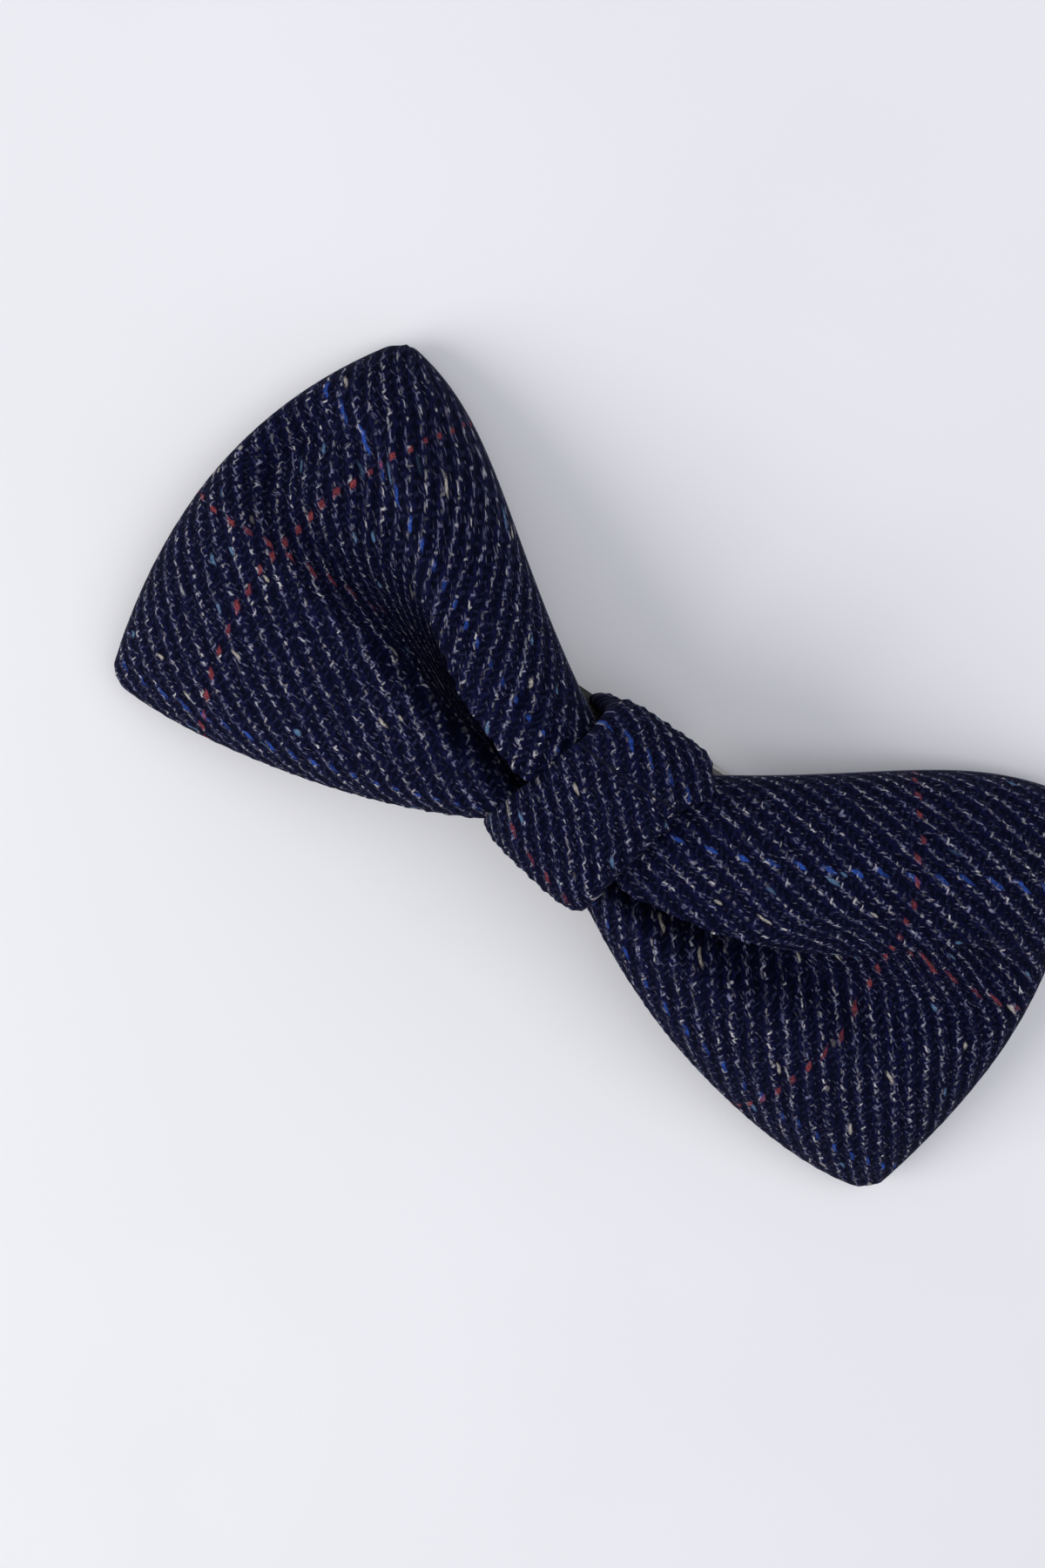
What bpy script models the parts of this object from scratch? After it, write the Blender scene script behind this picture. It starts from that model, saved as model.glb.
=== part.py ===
"""A ready-tied bow tie in wool twill, lying as worn: +X along the wings, +Z up, its front facing -Y.

The origin is the middle of the flat back face of the knot, which rests against the collar.
The neck strap is folded in five layers behind the bow, with its clip hardware at both ends.
"""

import math

import bpy
from mathutils import Vector

MM = 0.001

# Bow outline, in millimetres
WAIST_X = 9.2
WAIST_TOP = 7.6
WAIST_BOTTOM = -8.2
WAIST_PINCH = 6.6
TIP_TOP = (48.5, 28.8)
TIP_BOTTOM = (56.8, -25.2)
TOP_BULGE = 3.0
BOTTOM_BULGE = 6.0
OUTER_BULGE = 7.3

# Depths, measured forward from the plane of the rearmost strap hardware
RIM_AT_WAIST = 15.2
RIM_AT_TIP = 3.0
RIM_CROWN = 2.5
BACK_DEPTH = 11.9
BACK_DEPTH_WAIST = 12.35
PUFF_WAIST = 4.5
PUFF_GAIN = 11.0
VALLEY = 3.8
PANEL = 1.0
RIM_HALF_GAP = 0.75
INTERLINING = 0.5
INTERLINING_BEHIND = 1.05

# Knot
KNOT_HALF_HEIGHT = 10.2
KNOT_FRONT = 25.2
KNOT_BACK = 8.93
KNOT_HALF_WIDTH = 8.15
KNOT_FLARE = 0.05
KNOT_LEAN = 0.08
WRAP = 1.2
PAD = 0.7

# Neck strap: layers counted from the bow to the rear, as the depth of each layer's middle
STRAP_HALF_WIDTH = 6.35
HARDWARE_HALF_WIDTH = STRAP_HALF_WIDTH + 1.0
STRAP = 0.5
LAYERS = (10.65, 6.65, 5.85, 5.05, 3.35)
FOLDS_X = (-44.0, 29.5, -39.0, 28.0)
RETURN_LAYER = 1.65
HOOK_X = -24.9
HOOK_DEPTH = 2.5
RING_X = 33.0
RING_DEPTH = 9.65
TAB_END_X = 24.0
SLIDER_X = 12.0
GAP = 0.3


def clear_scene():
    for obj in list(bpy.data.objects):
        bpy.data.objects.remove(obj, do_unlink=True)


def material(name, colour, roughness, metallic=0.0):
    made = bpy.data.materials.new(name)
    made.use_nodes = True
    made.diffuse_color = (*colour, 1.0)
    shader = made.node_tree.nodes["Principled BSDF"]
    shader.inputs["Base Color"].default_value = (*colour, 1.0)
    shader.inputs["Roughness"].default_value = roughness
    shader.inputs["Metallic"].default_value = metallic
    return made


def add_mesh(name, points_mm, faces, look, smooth=False):
    """A mesh object from points in millimetres, given as (x, depth forward, z)."""
    mesh = bpy.data.meshes.new(name)
    mesh.from_pydata([(x * MM, (KNOT_BACK - depth) * MM, z * MM) for x, depth, z in points_mm], [], faces)
    mesh.update()
    obj = bpy.data.objects.new(name, mesh)
    bpy.context.scene.collection.objects.link(obj)
    obj.data.materials.append(look)
    for polygon in mesh.polygons:
        polygon.use_smooth = smooth
    face_outwards(obj)
    return obj


def face_outwards(obj):
    """Turns the mesh's faces round when its signed volume is negative."""
    mesh = obj.data
    mesh.calc_loop_triangles()
    volume = 0.0
    for triangle in mesh.loop_triangles:
        a, b, c = (mesh.vertices[i].co for i in triangle.vertices)
        volume += a.dot(b.cross(c))
    if volume < 0:
        mesh.flip_normals()


def set_origin(obj, x, depth, z=0.0):
    """Moves the object's origin to a joint axis and leaves its surface where it is."""
    place = Vector((x * MM, (KNOT_BACK - depth) * MM, z * MM))
    for vertex in obj.data.vertices:
        vertex.co -= place
    obj.location = place


def smoothstep(value):
    value = min(1.0, max(0.0, value))
    return value * value * (3.0 - 2.0 * value)


# The bow's own surfaces. s runs from the waist (0) to the outer edge (1), t from bottom (-1) to top (+1).


def outline(s, t):
    top_x = WAIST_X + (TIP_TOP[0] - WAIST_X) * s
    top_z = WAIST_TOP + (TIP_TOP[1] - WAIST_TOP) * s + TOP_BULGE * math.sin(math.pi * s * s)
    low_x = WAIST_X + (TIP_BOTTOM[0] - WAIST_X) * s
    arch = max(0.0, 1.0 - (2.0 * s - 1.0) ** 2) ** 0.7
    low_z = WAIST_BOTTOM + (TIP_BOTTOM[1] - WAIST_BOTTOM) * s - BOTTOM_BULGE * arch * smoothstep(s / 0.25)
    mix = (t + 1.0) / 2.0
    x = low_x + (top_x - low_x) * mix + OUTER_BULGE * s**3 * (1.0 - t * t) * (1.0 + 0.15 * t)
    return x, low_z + (top_z - low_z) * mix


def rim_depth(s, t):
    along = RIM_AT_WAIST - (RIM_AT_WAIST - RIM_AT_TIP) * smoothstep(s)
    outer = RIM_AT_TIP + RIM_CROWN * (1.0 - t * t)
    return along * (1.0 - s**4) + outer * s**4


def front_depth(s, t):
    puff = (PUFF_WAIST + PUFF_GAIN * s**0.9) * (1.0 - s**4) ** 0.7
    across = max(0.0, 1.0 - abs(t) ** 2.6) ** 0.6
    valley = VALLEY * math.sin(math.pi * min(1.0, s / 0.75) ** 0.6) * math.exp(-((t / 0.3) ** 2))
    return rim_depth(s, t) + RIM_HALF_GAP + puff * across - valley


def back_depth(s, t):
    rim = rim_depth(s, t) - RIM_HALF_GAP
    middle = BACK_DEPTH + (BACK_DEPTH_WAIST - BACK_DEPTH) * (1.0 - smoothstep(s / 0.1))
    at_edge = rim_depth(1.0, t) - RIM_HALF_GAP
    middle += (at_edge - middle) * smoothstep((s - 0.78) / 0.22)
    return rim + (middle - rim) * (1.0 - abs(t) ** 3.5)


def bow_point(q, t, depth_of):
    """A point of the bow for q from -1 (left outer edge) through the waist to +1 (right outer edge)."""
    side = -1.0 if q < 0 else 1.0
    waist = 0.12
    if abs(q) < waist:
        share = abs(q) / waist
        top = WAIST_PINCH + (WAIST_TOP - WAIST_PINCH) * share**2
        low = -WAIST_PINCH + (WAIST_BOTTOM + WAIST_PINCH) * share**2
        z = low + (top - low) * (t + 1.0) / 2.0
        return side * WAIST_X * share, depth_of(0.0, t), z
    s = (abs(q) - waist) / (1.0 - waist)
    x, z = outline(s, t)
    return side * x, depth_of(s, t), z


def bow_columns(inset):
    wing = [0.12, 0.15, 0.19, 0.24, 0.3, 0.37, 0.45, 0.53, 0.61, 0.69, 0.77, 0.84, 0.9, 0.95, 0.98, 1.0]
    wing = [0.12 + (q - 0.12) * (1.0 - inset) for q in wing]
    return [-q for q in reversed(wing)] + [-0.06, 0.0, 0.06] + wing


def bow_rows(inset):
    rows = [-1.0, -0.97, -0.9, -0.78, -0.6, -0.4, -0.2, 0.0, 0.2, 0.4, 0.6, 0.78, 0.9, 0.97, 1.0]
    return [t * (1.0 - inset) for t in rows]


def bow_sheet(name, depth_of, thickness, inset, look):
    """A closed sheet over the whole bow, thickened along its depth."""
    columns, rows = bow_columns(inset), bow_rows(inset)
    points, faces = [], []
    for half in (thickness / 2.0, -thickness / 2.0):
        for q in columns:
            for t in rows:
                x, depth, z = bow_point(q, t, depth_of)
                points.append((x, depth + half, z))
    wide, tall = len(columns), len(rows)
    layer = wide * tall

    def at(level, i, j):
        return level * layer + i * tall + j

    for i in range(wide - 1):
        for j in range(tall - 1):
            faces.append((at(0, i, j), at(0, i + 1, j), at(0, i + 1, j + 1), at(0, i, j + 1)))
            faces.append((at(1, i, j), at(1, i, j + 1), at(1, i + 1, j + 1), at(1, i + 1, j)))
    for i in range(wide - 1):
        faces.append((at(0, i, 0), at(1, i, 0), at(1, i + 1, 0), at(0, i + 1, 0)))
        faces.append((at(0, i, tall - 1), at(0, i + 1, tall - 1), at(1, i + 1, tall - 1), at(1, i, tall - 1)))
    for j in range(tall - 1):
        faces.append((at(0, 0, j), at(0, 0, j + 1), at(1, 0, j + 1), at(1, 0, j)))
        faces.append((at(0, wide - 1, j), at(1, wide - 1, j), at(1, wide - 1, j + 1), at(0, wide - 1, j + 1)))
    return add_mesh(name, points, faces, look, smooth=True)


def box(name, x_range, depth_range, z_range, look):
    points = [(x, d, z) for x in x_range for d in depth_range for z in z_range]
    faces = [(0, 1, 3, 2), (4, 6, 7, 5), (0, 4, 5, 1), (2, 3, 7, 6), (0, 2, 6, 4), (1, 5, 7, 3)]
    return add_mesh(name, points, faces, look)


def tube(name, path, radius, look, closed, sides=8):
    """A round wire along points (x, depth, z)."""
    spine = [Vector(p) for p in path]
    count = len(spine)
    points, faces = [], []
    for i, here in enumerate(spine):
        before = spine[(i - 1) % count] if closed else spine[max(0, i - 1)]
        after = spine[(i + 1) % count] if closed else spine[min(count - 1, i + 1)]
        along = (after - before).normalized()
        across = along.cross(tube.facing).normalized()
        other = along.cross(across).normalized()
        for k in range(sides):
            angle = 2.0 * math.pi * k / sides
            points.append(tuple(here + radius * (math.cos(angle) * across + math.sin(angle) * other)))
    for i in range(count if closed else count - 1):
        step = (i + 1) % count
        for k in range(sides):
            faces.append(
                (i * sides + k, i * sides + (k + 1) % sides, step * sides + (k + 1) % sides, step * sides + k)
            )
    if not closed:
        faces.append(tuple(reversed(range(sides))))
        faces.append(tuple(range((count - 1) * sides, count * sides)))
    return add_mesh(name, points, faces, look, smooth=True)


tube.facing = Vector((0.0, 1.0, 0.0))


def prism(name, profile, z_range, look, smooth=False):
    """A closed profile of (x, depth) drawn out along z."""
    count = len(profile)
    points = [(x, d, z) for z in z_range for x, d in profile]
    faces = [tuple(range(count)), tuple(reversed(range(count, 2 * count)))]
    for i in range(count):
        faces.append(((i + 1) % count, i, count + i, count + (i + 1) % count))
    return add_mesh(name, points, faces, look, smooth)


def ribbon(line, thickness):
    """The closed outline of a strip of this thickness along a line of (x, depth) points."""
    sides = ([], [])
    for i, (x, d) in enumerate(line):
        x0, d0 = line[max(0, i - 1)]
        x1, d1 = line[min(len(line) - 1, i + 1)]
        length = math.hypot(x1 - x0, d1 - d0)
        nx, nd = -(d1 - d0) / length, (x1 - x0) / length
        sides[0].append((x + nx * thickness / 2.0, d + nd * thickness / 2.0))
        sides[1].append((x - nx * thickness / 2.0, d - nd * thickness / 2.0))
    return sides[0] + sides[1][::-1]


def half_turn(x, depth, radius, side, steps=12):
    """Points of a half circle that bulges towards side, from the greater depth to the lesser."""
    turn = []
    for i in range(steps + 1):
        angle = math.pi * i / steps
        turn.append((x + side * radius * math.sin(angle), depth + radius * math.cos(angle)))
    return turn


def rounded_loop(x_range, z_range, depth, corner, steps=5):
    """A rounded rectangle in the XZ plane, as (x, depth, z) points."""
    centres = (
        (x_range[1] - corner, z_range[1] - corner, 0.0),
        (x_range[0] + corner, z_range[1] - corner, 90.0),
        (x_range[0] + corner, z_range[0] + corner, 180.0),
        (x_range[1] - corner, z_range[0] + corner, 270.0),
    )
    path = []
    for x, z, start in centres:
        for i in range(steps + 1):
            angle = math.radians(start + 90.0 * i / steps)
            path.append((x + corner * math.cos(angle), depth, z + corner * math.sin(angle)))
    return path


def joined(base, others):
    """Unites the other objects with base by EXACT Booleans and leaves one closed object."""
    for other in others:
        cut = base.modifiers.new("join", "BOOLEAN")
        cut.operation = "UNION"
        cut.solver = "EXACT"
        cut.object = other
        other.hide_render = True
        other.display_type = "WIRE"
    graph = bpy.context.evaluated_depsgraph_get()
    solid = bpy.data.meshes.new_from_object(base.evaluated_get(graph))
    base.modifiers.clear()
    base.data = solid
    for other in others:
        bpy.data.objects.remove(other, do_unlink=True)
    return base


# Knot


def knot_profile(offset, steps=6):
    """The knot's section as (depth, z) points, each offset inwards."""
    back, front = KNOT_BACK + offset, KNOT_FRONT - offset
    half = KNOT_HALF_HEIGHT - offset
    front_corner, back_corner = 5.5 - offset, 2.6 - offset
    corners = (
        (front - front_corner, half - front_corner, front_corner, 0.0),
        (back + back_corner, half - back_corner, back_corner, 90.0),
        (back + back_corner, -half + back_corner, back_corner, 180.0),
        (front - front_corner, -half + front_corner, front_corner, 270.0),
    )
    path = []
    for depth, z, radius, start in corners:
        for i in range(steps + 1):
            angle = math.radians(start + 90.0 * i / steps)
            path.append((depth + radius * math.cos(angle), z + radius * math.sin(angle)))
    return path


def knot_wrap(look):
    stations = ((-1.0, 0.45), (-0.93, 0.12), (-0.8, 0.0), (0.0, 0.0), (0.8, 0.0), (0.93, 0.12), (1.0, 0.45))
    rings = [(share, knot_profile(inset)) for share, inset in stations]
    rings += [(share, knot_profile(WRAP)) for share in (1.0, -1.0)]
    points, faces = [], []
    count = len(rings[0][1])
    for share, ring in rings:
        for depth, z in ring:
            half = KNOT_HALF_WIDTH - KNOT_FLARE * z
            points.append((share * half + KNOT_LEAN * z, depth, z))
    for i in range(len(rings)):
        step = (i + 1) % len(rings)
        for k in range(count):
            faces.append((i * count + k, i * count + (k + 1) % count, step * count + (k + 1) % count, step * count + k))
    return add_mesh("knot_wrap", points, faces, look, smooth=True)


def knot_interlining(look):
    outer = [p for p in knot_profile(WRAP + GAP) if p[0] > 13.2]
    inner = [p for p in knot_profile(WRAP + GAP + PAD) if p[0] > 13.2]
    half = 6.4
    lines = []
    for ring in (outer, inner):
        low = sorted((p for p in ring if p[1] < 0), key=lambda p: p[0] + abs(p[1]) * -1.0)
        high = sorted((p for p in ring if p[1] >= 0), key=lambda p: p[0] - p[1])
        start = (13.0, low[0][1])
        end = (13.0, high[0][1])
        lines.append([start] + low + high[::-1] + [end])
    section = lines[0] + lines[1][::-1]
    count = len(section)
    points = [(x, depth, z) for x in (-half, half) for depth, z in section]
    faces = []
    run = len(lines[0])
    for i in range(run - 1):
        a, b = i, i + 1
        c, d = count - 1 - (i + 1), count - 1 - i
        faces.append((a, b, c, d))
        faces.append((count + a, count + d, count + c, count + b))
    for i in range(count):
        faces.append((i, count + i, count + (i + 1) % count, (i + 1) % count))
    return add_mesh("knot_interlining", points, faces, look, smooth=True)


def gather_thread(look):
    path = []
    for k in range(32):
        angle = 2.0 * math.pi * k / 32
        c, s = math.cos(angle), math.sin(angle)
        bow = 2.6
        z = 7.15 * math.copysign(abs(s) ** (2.0 / bow / 1.6), s)
        depth = 16.4 + 5.02 * math.copysign(abs(c) ** (2.0 / bow / 1.6), c)
        path.append((0.0, depth, z))
    tube.facing = Vector((1.0, 0.0, 0.0))
    made = tube("waist_gather_thread", path, 0.22, look, closed=True, sides=6)
    tube.facing = Vector((0.0, 1.0, 0.0))
    return made


def edge_threads(look):
    for name, t in (("top_seam_thread", 1.0), ("bottom_seam_thread", -1.0)):
        path = [bow_point(q, t, rim_depth) for q in bow_columns(0.01)]
        tube(name, path, 0.12, look, closed=False, sides=6)


# Strap


def strap_layers(look):
    ends = (RING_X, *FOLDS_X, HOOK_X)
    for i, depth in enumerate(LAYERS):
        low, high = sorted((ends[i], ends[i + 1]))
        inner = GAP / 2.0
        made = box(
            f"strap_layer_{i + 1}",
            (low + inner, high - inner),
            (depth - STRAP / 2.0, depth + STRAP / 2.0),
            (-STRAP_HALF_WIDTH, STRAP_HALF_WIDTH),
            look,
        )
        if i:
            set_origin(made, FOLDS_X[i - 1], (LAYERS[i - 1] + LAYERS[i]) / 2.0)


def strap_folds(look):
    for i, x in enumerate(FOLDS_X):
        middle = (LAYERS[i] + LAYERS[i + 1]) / 2.0
        radius = (LAYERS[i] - LAYERS[i + 1]) / 2.0
        side = -1.0 if x < 0 else 1.0
        x_arc = x + side * GAP / 2.0
        prism(
            f"strap_fold_{i + 1}",
            ribbon(half_turn(x_arc, middle, radius, side), STRAP),
            (-STRAP_HALF_WIDTH, STRAP_HALF_WIDTH),
            look,
        )


def ring_tab(look, thread):
    arc = half_turn(RING_X + GAP / 2.0, RING_DEPTH, 1.0, 1.0)
    line = arc + [(TAB_END_X, RING_DEPTH - 1.0)]
    width = (-STRAP_HALF_WIDTH, STRAP_HALF_WIDTH)
    prism("ring_tab_loop", ribbon(line, STRAP), width, look)
    stitch = RING_DEPTH - 1.0 - STRAP / 2.0 - 0.1
    box("ring_tab_stitch", (TAB_END_X + 1.4, TAB_END_X + 1.9), (stitch - 0.3, stitch), (-5.15, 5.15), thread)


def hook_end(look, thread):
    loop = half_turn(HOOK_X - GAP / 2.0, HOOK_DEPTH, 0.85, -1.0)
    width = (-STRAP_HALF_WIDTH, STRAP_HALF_WIDTH)
    prism("hook_loop_fold", ribbon(loop, STRAP), width, look)
    box(
        "strap_return",
        (HOOK_X + GAP / 2.0, SLIDER_X - 1.4 - GAP),
        (RETURN_LAYER - STRAP / 2.0, RETURN_LAYER + STRAP / 2.0),
        width,
        look,
    )
    behind = RETURN_LAYER - STRAP / 2.0 - 0.1
    box("slider_bar_tack", (SLIDER_X - 3.6, SLIDER_X - 3.0), (behind - 0.3, behind), (-4.85, 4.85), thread)


def slider(metal, look):
    rails = []
    full = (-HARDWARE_HALF_WIDTH, HARDWARE_HALF_WIDTH)
    frame = box("slider_frame", (SLIDER_X - 0.7, SLIDER_X + 0.7), (0.6, 1.3), full, metal)
    for side in (-1.0, 1.0):
        z_range = sorted((side * (STRAP_HALF_WIDTH + 0.35), side * (STRAP_HALF_WIDTH + 1.2)))
        rails.append(box("rail", (SLIDER_X - 5.4, SLIDER_X + 5.4), (0.55, 4.55), z_range, metal))
        x_range = sorted((SLIDER_X + side * 4.0, SLIDER_X + side * 5.35))
        rails.append(box("bar", x_range, (3.8, 4.5), full, metal))
    joined(frame, rails)
    outer = rounded_section(SLIDER_X - 1.4, SLIDER_X + 1.4, 0.05, 1.9, 0.6)
    inner = rounded_section(SLIDER_X - 0.95, SLIDER_X + 0.95, 0.5, 1.42, 0.2)
    count = len(outer)
    points = [(x, d, z) for z in (-5.95, 5.95) for x, d in outer + inner]
    faces = []
    for i in range(count):
        k = (i + 1) % count
        faces.append((i, k, 2 * count + k, 2 * count + i))
        faces.append((count + i, 3 * count + i, 3 * count + k, count + k))
        faces.append((i, count + i, count + k, k))
        faces.append((2 * count + i, 2 * count + k, 3 * count + k, 3 * count + i))
    add_mesh("slider_anchor_loop", points, faces, look)


def rounded_section(x0, x1, d0, d1, corner, steps=3):
    centres = (
        (x1 - corner, d1 - corner, 0.0),
        (x0 + corner, d1 - corner, 90.0),
        (x0 + corner, d0 + corner, 180.0),
        (x1 - corner, d0 + corner, 270.0),
    )
    path = []
    for x, d, start in centres:
        for i in range(steps + 1):
            angle = math.radians(start + 90.0 * i / steps)
            path.append((x + corner * math.cos(angle), d + corner * math.sin(angle)))
    return path


def hook(metal):
    frame = tube(
        "neck_hook",
        rounded_loop((HOOK_X - 3.8, HOOK_X), (-HARDWARE_HALF_WIDTH, HARDWARE_HALF_WIDTH), HOOK_DEPTH, 1.3),
        0.45,
        metal,
        closed=True,
    )
    line = [(HOOK_X - 3.6, HOOK_DEPTH), (HOOK_X - 6.0, HOOK_DEPTH), (HOOK_X - 9.2, HOOK_DEPTH)]
    line += half_turn(HOOK_X - 9.6, HOOK_DEPTH - 1.2, 1.2, -1.0, steps=8)
    line += [(HOOK_X - 7.6, HOOK_DEPTH - 2.4), (HOOK_X - 6.4, HOOK_DEPTH - 2.2)]
    tongue = prism("tongue", ribbon(line, 0.7), (-2.3, 2.3), metal)
    joined(frame, [tongue])
    set_origin(frame, HOOK_X, HOOK_DEPTH)


def ring(metal):
    made = tube(
        "neck_ring",
        rounded_loop((RING_X, RING_X + 7.6), (-HARDWARE_HALF_WIDTH - 0.3, HARDWARE_HALF_WIDTH + 0.3), RING_DEPTH, 2.0),
        0.6,
        metal,
        closed=True,
        sides=10,
    )
    set_origin(made, RING_X, RING_DEPTH)


def knot_stitches(thread):
    """Hand stitches that close the wrap, on its underside near the back."""
    low = KNOT_HALF_HEIGHT + 0.1
    x0 = -KNOT_LEAN * low
    box("knot_closing_stitches", (x0 - 5.0, x0 + 5.0), (13.4, 13.8), (-low - 0.3, -low), thread)


def main():
    clear_scene()
    wool = material("navy_wool_twill", (0.012, 0.014, 0.045), 0.9)
    wool_back = material("navy_wool_back", (0.011, 0.013, 0.04), 0.92)
    wool_knot = material("navy_wool_knot", (0.013, 0.015, 0.047), 0.9)
    canvas = material("interlining_canvas", (0.55, 0.52, 0.46), 0.95)
    thread = material("navy_thread", (0.02, 0.022, 0.06), 0.6)
    webbing = material("black_strap", (0.012, 0.012, 0.011), 0.6)
    metal = material("nickel_hardware", (0.62, 0.6, 0.57), 0.28, 1.0)

    def behind_front(s, t):
        return front_depth(s, t) - INTERLINING_BEHIND

    bow_sheet("bow_front_panel", front_depth, PANEL, 0.0, wool)
    bow_sheet("bow_back_panel", back_depth, PANEL, 0.0, wool_back)
    bow_sheet("bow_interlining", behind_front, INTERLINING, 0.09, canvas)
    edge_threads(thread)
    gather_thread(thread)
    knot_wrap(wool_knot)
    knot_interlining(canvas)
    knot_stitches(thread)
    strap_layers(webbing)
    strap_folds(webbing)
    ring_tab(webbing, thread)
    hook_end(webbing, thread)
    slider(metal, webbing)
    hook(metal)
    ring(metal)


main()
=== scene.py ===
"""Looks for the ready-tied bow tie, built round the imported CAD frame.

Lengths inside the functions are in millimetres. A point is (x, depth, z): depth is measured
forward from the plane of the rearmost strap hardware. The scene's origin is the middle of the
knot's back face, KNOT_BACK in front of that plane, and the front of the bow faces -Y.
"""

import math

import bpy
import numpy as np
from mathutils import Matrix, Vector


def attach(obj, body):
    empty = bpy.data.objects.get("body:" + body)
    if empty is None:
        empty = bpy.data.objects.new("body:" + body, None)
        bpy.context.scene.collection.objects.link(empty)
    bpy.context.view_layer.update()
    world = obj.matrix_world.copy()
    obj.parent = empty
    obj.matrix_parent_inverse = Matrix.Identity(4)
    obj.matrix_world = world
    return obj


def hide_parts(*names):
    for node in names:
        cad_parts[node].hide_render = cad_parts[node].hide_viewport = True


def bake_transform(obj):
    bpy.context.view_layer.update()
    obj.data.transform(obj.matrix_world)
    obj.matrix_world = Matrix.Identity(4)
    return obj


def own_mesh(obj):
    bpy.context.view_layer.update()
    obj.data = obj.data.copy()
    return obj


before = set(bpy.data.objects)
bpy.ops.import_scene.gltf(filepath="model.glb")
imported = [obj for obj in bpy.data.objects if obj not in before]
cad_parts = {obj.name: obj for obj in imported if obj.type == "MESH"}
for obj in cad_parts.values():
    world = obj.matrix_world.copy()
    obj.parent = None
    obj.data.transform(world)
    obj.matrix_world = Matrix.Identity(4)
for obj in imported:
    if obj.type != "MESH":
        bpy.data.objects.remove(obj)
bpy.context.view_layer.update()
MM = 0.001

KNOT_BACK = 8.93  # depth of the knot's back face

TWILL = 38.0  # how far the wings' ribs turn from the length of their cloth, in degrees
KNOT_TWILL = 42.0
KNOT_CLOTH = 1.2  # the knot's cloth is drawn in, so its ribs lie closer by this factor
RIB_PITCH = 2.02  # from rib to rib
FLOAT_PITCH = 2.05  # from float to float along a rib
RIB_HEIGHT = 0.3
FLOAT_HEIGHT = 0.09
FIBRE_HEIGHT = 0.03


# ---- mesh helpers


def to_scene(points):
    """(x, depth, z) in millimetres to scene metres."""
    points = np.asarray(points, float)
    return np.stack([points[..., 0], KNOT_BACK - points[..., 1], points[..., 2]], -1) * MM


def place(x, depth, z):
    """One point in millimetres as a vector in scene metres."""
    return Vector((x, KNOT_BACK - depth, z)) * MM


def mesh_object(name, points_mm, quads, uv_sets=None, smooth=True, uv_quads=None):
    """A mesh from flat arrays of points and quads. uv_quads says which UV each corner takes."""
    points = to_scene(points_mm).reshape(-1, 3)
    quads = np.asarray(quads, np.int32)
    mesh = bpy.data.meshes.new(name)
    mesh.vertices.add(len(points))
    mesh.vertices.foreach_set("co", points.astype(np.float32).ravel())
    mesh.loops.add(quads.size)
    mesh.loops.foreach_set("vertex_index", quads.ravel())
    mesh.polygons.add(len(quads))
    mesh.polygons.foreach_set("loop_start", np.arange(0, quads.size, 4, dtype=np.int32))
    mesh.polygons.foreach_set("loop_total", np.full(len(quads), 4, np.int32))
    mesh.polygons.foreach_set("use_smooth", np.array(np.broadcast_to(smooth, len(quads))))
    mesh.update(calc_edges=True)
    order = np.asarray(quads if uv_quads is None else uv_quads).ravel()
    for map_name, values in (uv_sets or {}).items():
        layer = mesh.uv_layers.new(name=map_name)
        layer.data.foreach_set("uv", np.asarray(values, np.float32).reshape(-1, 2)[order].ravel())
    mesh.validate()
    obj = add_object(name, mesh)
    turn_outwards(obj)
    return obj


def add_object(name, data):
    obj = bpy.data.objects.new(name, data)
    bpy.context.scene.collection.objects.link(obj)
    return obj


def turn_outwards(obj):
    """Flips the faces of a mesh whose volume comes out negative."""
    mesh = obj.data
    mesh.calc_loop_triangles()
    corners = np.zeros(len(mesh.loop_triangles) * 3, np.int32)
    mesh.loop_triangles.foreach_get("vertices", corners)
    points = np.zeros(len(mesh.vertices) * 3, np.float32)
    mesh.vertices.foreach_get("co", points)
    a, b, c = points.reshape(-1, 3)[corners.reshape(-1, 3)].transpose(1, 0, 2)
    if (a * np.cross(b, c)).sum() < 0:
        mesh.flip_normals()


def grid_quads(rows, columns, start=0, wrap_rows=False, wrap_columns=False):
    """Quads of a grid whose vertex (i, j) is start + i * columns + j."""
    i = np.arange(rows if wrap_rows else rows - 1)[:, None]
    j = np.arange(columns if wrap_columns else columns - 1)[None]
    i2, j2 = (i + 1) % rows, (j + 1) % columns
    quads = [i * columns + j, i2 * columns + j, i2 * columns + j2, i * columns + j2]
    return np.stack(quads, -1).reshape(-1, 4) + start


def flat_uv(u, v):
    """UVs in the order of a grid's points."""
    return np.stack(np.broadcast_arrays(u, v), -1).reshape(-1, 2)


def normals_of(grid):
    """Unit normals of a grid of points [rows, columns, 3]."""
    normal = np.cross(np.gradient(grid, axis=0), np.gradient(grid, axis=1))
    length = np.linalg.norm(normal, axis=-1, keepdims=True)
    return normal / np.maximum(length, 1e-9)


def unit(vectors):
    return vectors / np.linalg.norm(vectors, axis=1, keepdims=True)


def arc_lengths(path):
    """How far along path each of its points lies."""
    return np.concatenate([[0.0], np.cumsum(np.linalg.norm(np.diff(path, axis=0), axis=1))])


def quarter_turn(x, y, radius, start, steps):
    """Points of a quarter circle round (x, y), from an angle in degrees on."""
    angles = [math.radians(start + 90.0 * i / steps) for i in range(steps + 1)]
    return [(x + radius * math.cos(angle), y + radius * math.sin(angle)) for angle in angles]


def smoothstep(value):
    """0 up to value 0 and 1 from value 1 on, with a soft rise between them."""
    value = np.clip(value, 0.0, 1.0)
    return value * value * (3.0 - 2.0 * value)


# ---- weave relief


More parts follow.
